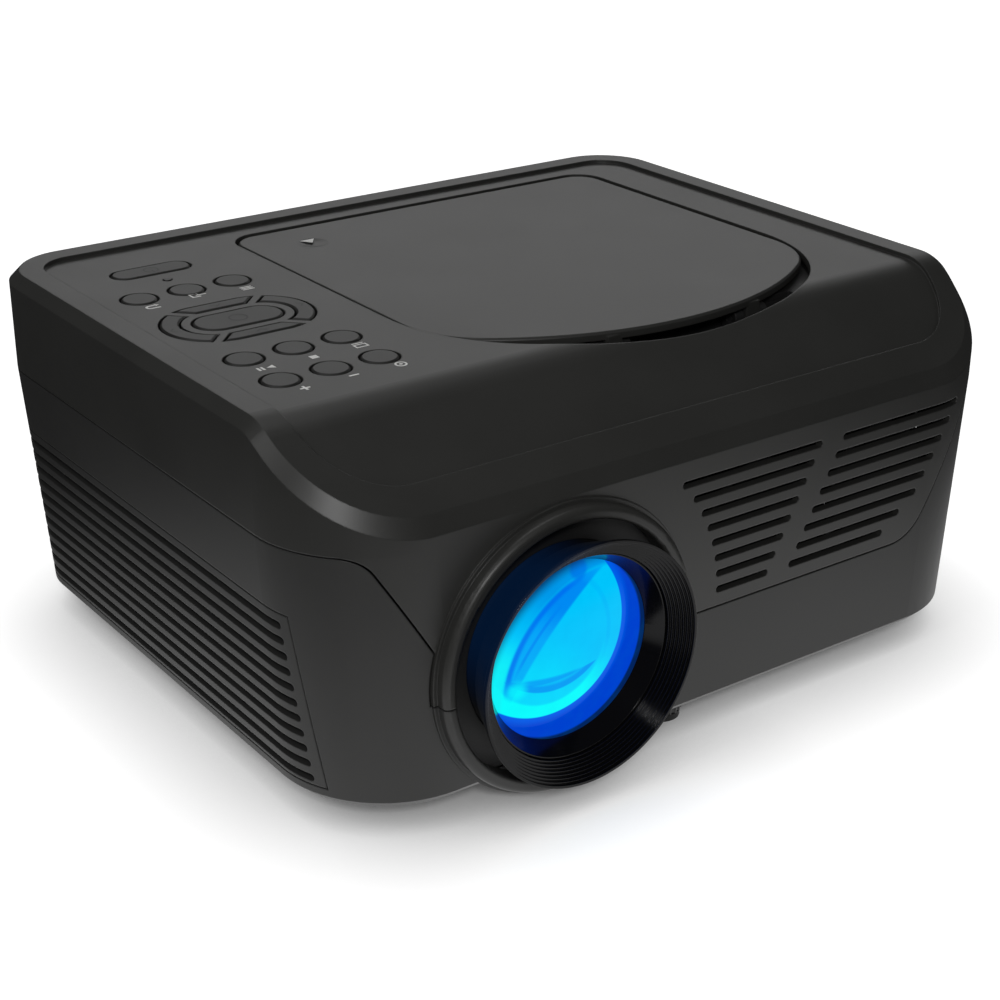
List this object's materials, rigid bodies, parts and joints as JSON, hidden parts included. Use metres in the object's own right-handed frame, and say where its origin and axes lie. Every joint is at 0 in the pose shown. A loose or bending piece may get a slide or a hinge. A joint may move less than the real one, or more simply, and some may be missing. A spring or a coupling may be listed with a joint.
{
  "type": "projector with built in dvd player",
  "caption": "Box-shaped video projector with a sloped front edge, a round lens on its front face, a hinged disc lid on top and a key panel beside it",
  "frame": {"origin": "centre of the bounding box's footprint, on the standing plane; +X to the right seen from the lens side, -Y out of the lens, +Z up", "axes": "+X width, +Y depth to the rear, +Z height"},
  "size_m": [0.246, 0.21, 0.113],
  "materials": {
    "charcoal_top": "satin",
    "charcoal_base": "satin",
    "tray_black": "matte",
    "key_grey": "satin",
    "barrel_gloss": "gloss",
    "lens_glass": "clear",
    "lamp_lens": "clear",
    "steel": "satin",
    "rubber_black": "matte",
    "foot_plastic": "satin",
    "board_green": "satin",
    "sink_metal": "satin"
  },
  "bodies": {
    "case": {"upper_case": "charcoal_top", "lower_case": "charcoal_base", "side_grille_left": "charcoal_base", "side_grille_right": "charcoal_base", "hinge_pins": "steel", "disc_tray": "tray_black", "disc_bowl": "tray_black", "latch_body": "tray_black", "deck_chassis": "steel", "deck_dampers": "rubber_black", "deck_screws": "steel", "spindle_motor": "steel", "guide_rods": "steel", "sled_motor": "steel", "key_board": "board_green", "indicator_lens": "lamp_lens", "lens_sleeve": "tray_black", "engine_housing": "tray_black", "lcd_panel": "lens_glass", "field_lenses": "lens_glass", "led_board": "board_green", "heat_sink": "sink_metal", "fan_frame": "tray_black", "main_board": "board_green", "power_board": "board_green", "port_hdmi": "steel", "port_usb": "steel", "av_jacks": "foot_plastic", "power_inlet": "foot_plastic", "speakers": "tray_black", "case_screws": "steel", "rear_feet": "rubber_black"},
    "lid": {"disc_lid": "charcoal_top"},
    "latch_button": {"latch_plunger": "tray_black"},
    "turntable_body": {"turntable": "tray_black"},
    "sled": {"pickup_sled": "tray_black", "pickup_lens": "lens_glass"},
    "screw_shaft": {"lead_screw": "steel"},
    "fan_wheel": {"fan_rotor": "tray_black"},
    "lens_cell": {"front_lens": "lens_glass", "lens_retainer": "barrel_gloss", "rear_lens": "lens_glass"},
    "focus_barrel": {"focus_ring": "barrel_gloss"},
    "foot_base": {"foot_pad": "rubber_black"},
    "foot_wheel": {"foot_screw": "foot_plastic"},
    "key_return_body": {"key_return": "key_grey"},
    "key_source_body": {"key_source": "key_grey"},
    "key_menu_body": {"key_menu": "key_grey"},
    "key_play_body": {"key_play": "key_grey"},
    "key_stop_body": {"key_stop": "key_grey"},
    "key_title_body": {"key_title": "key_grey"},
    "key_volume_up_body": {"key_volume_up": "key_grey"},
    "key_volume_down_body": {"key_volume_down": "key_grey"},
    "key_setup_body": {"key_setup": "key_grey"},
    "key_up_body": {"key_up": "key_grey"},
    "key_down_body": {"key_down": "key_grey"},
    "key_left_body": {"key_left": "key_grey"},
    "key_right_body": {"key_right": "key_grey"},
    "key_ok_body": {"key_ok": "key_grey"},
    "key_power_body": {"key_power": "key_grey"}
  },
  "joints": [
    {"name": "lid_hinge", "type": "hinge", "parent": "case", "child": "lid", "pos_m": [0.0223, -0.0502, 0.1052], "axis": [1, 0, 0], "range_deg": [0, 62]},
    {"name": "latch_press", "type": "slide", "parent": "case", "child": "latch_button", "axis": [0, 0, -1], "range_m": [0, 0.0012], "stiffness_N_per_m": 300, "springref_m": -0.001},
    {"name": "key_return_press", "type": "slide", "parent": "case", "child": "key_return_body", "axis": [0, 0, -1], "range_m": [0, 0.0006], "stiffness_N_per_m": 300, "springref_m": -0.001},
    {"name": "key_source_press", "type": "slide", "parent": "case", "child": "key_source_body", "axis": [0, 0, -1], "range_m": [0, 0.0006], "stiffness_N_per_m": 300, "springref_m": -0.001},
    {"name": "key_menu_press", "type": "slide", "parent": "case", "child": "key_menu_body", "axis": [0, 0, -1], "range_m": [0, 0.0006], "stiffness_N_per_m": 300, "springref_m": -0.001},
    {"name": "key_play_press", "type": "slide", "parent": "case", "child": "key_play_body", "axis": [0, 0, -1], "range_m": [0, 0.0006], "stiffness_N_per_m": 300, "springref_m": -0.001},
    {"name": "key_stop_press", "type": "slide", "parent": "case", "child": "key_stop_body", "axis": [0, 0, -1], "range_m": [0, 0.0006], "stiffness_N_per_m": 300, "springref_m": -0.001},
    {"name": "key_title_press", "type": "slide", "parent": "case", "child": "key_title_body", "axis": [0, 0, -1], "range_m": [0, 0.0006], "stiffness_N_per_m": 300, "springref_m": -0.001},
    {"name": "key_volume_up_press", "type": "slide", "parent": "case", "child": "key_volume_up_body", "axis": [0, 0, -1], "range_m": [0, 0.0006], "stiffness_N_per_m": 300, "springref_m": -0.001},
    {"name": "key_volume_down_press", "type": "slide", "parent": "case", "child": "key_volume_down_body", "axis": [0, 0, -1], "range_m": [0, 0.0006], "stiffness_N_per_m": 300, "springref_m": -0.001},
    {"name": "key_setup_press", "type": "slide", "parent": "case", "child": "key_setup_body", "axis": [0, 0, -1], "range_m": [0, 0.0006], "stiffness_N_per_m": 300, "springref_m": -0.001},
    {"name": "key_up_press", "type": "slide", "parent": "case", "child": "key_up_body", "axis": [0, 0, -1], "range_m": [0, 0.0006], "stiffness_N_per_m": 300, "springref_m": -0.001},
    {"name": "key_down_press", "type": "slide", "parent": "case", "child": "key_down_body", "axis": [0, 0, -1], "range_m": [0, 0.0006], "stiffness_N_per_m": 300, "springref_m": -0.001},
    {"name": "key_left_press", "type": "slide", "parent": "case", "child": "key_left_body", "axis": [0, 0, -1], "range_m": [0, 0.0006], "stiffness_N_per_m": 300, "springref_m": -0.001},
    {"name": "key_right_press", "type": "slide", "parent": "case", "child": "key_right_body", "axis": [0, 0, -1], "range_m": [0, 0.0006], "stiffness_N_per_m": 300, "springref_m": -0.001},
    {"name": "key_ok_press", "type": "slide", "parent": "case", "child": "key_ok_body", "axis": [0, 0, -1], "range_m": [0, 0.0006], "stiffness_N_per_m": 300, "springref_m": -0.001},
    {"name": "key_power_press", "type": "slide", "parent": "case", "child": "key_power_body", "axis": [0, 0, -1], "range_m": [0, 0.0006], "stiffness_N_per_m": 300, "springref_m": -0.001},
    {"name": "turntable_spin", "type": "hinge", "parent": "case", "child": "turntable_body", "pos_m": [0.0223, 0.0185, 0.1], "axis": [0, 0, 1], "continuous": true},
    {"name": "fan_spin", "type": "hinge", "parent": "case", "child": "fan_wheel", "pos_m": [-0.0499, 0.091, 0.0445], "axis": [0, -1, 0], "continuous": true},
    {"name": "lead_screw_turn", "type": "hinge", "parent": "case", "child": "screw_shaft", "pos_m": [0.0513, 0.057, 0.0895], "axis": [0, 1, 0], "range_deg": [0, 3720]},
    {"name": "sled_slide", "type": "slide", "parent": "case", "child": "sled", "axis": [0, 1, 0], "range_m": [0, 0.031]},
    {"name": "focus_slide", "type": "slide", "parent": "case", "child": "lens_cell", "axis": [0, -1, 0], "range_m": [-0.003, 0.004]},
    {"name": "focus_turn", "type": "hinge", "parent": "lens_cell", "child": "focus_barrel", "pos_m": [-0.0499, -0.0915, 0.043], "axis": [0, -1, 0], "range_deg": [-36, 48]},
    {"name": "foot_slide", "type": "slide", "parent": "case", "child": "foot_base", "axis": [0, 0, -1], "range_m": [0, 0.008]},
    {"name": "foot_turn", "type": "hinge", "parent": "foot_base", "child": "foot_wheel", "pos_m": [-0.0025, -0.077, 0.005], "axis": [0, 0, -1], "range_deg": [0, 1440]}
  ],
  "couplings": [
    {"joint": "lead_screw_turn", "follows": "sled_slide", "rad_per_m": 2094.4},
    {"joint": "focus_slide", "follows": "focus_turn", "m_per_rad": 0.0047746},
    {"joint": "foot_turn", "follows": "foot_slide", "rad_per_m": 3141.6}
  ]
}
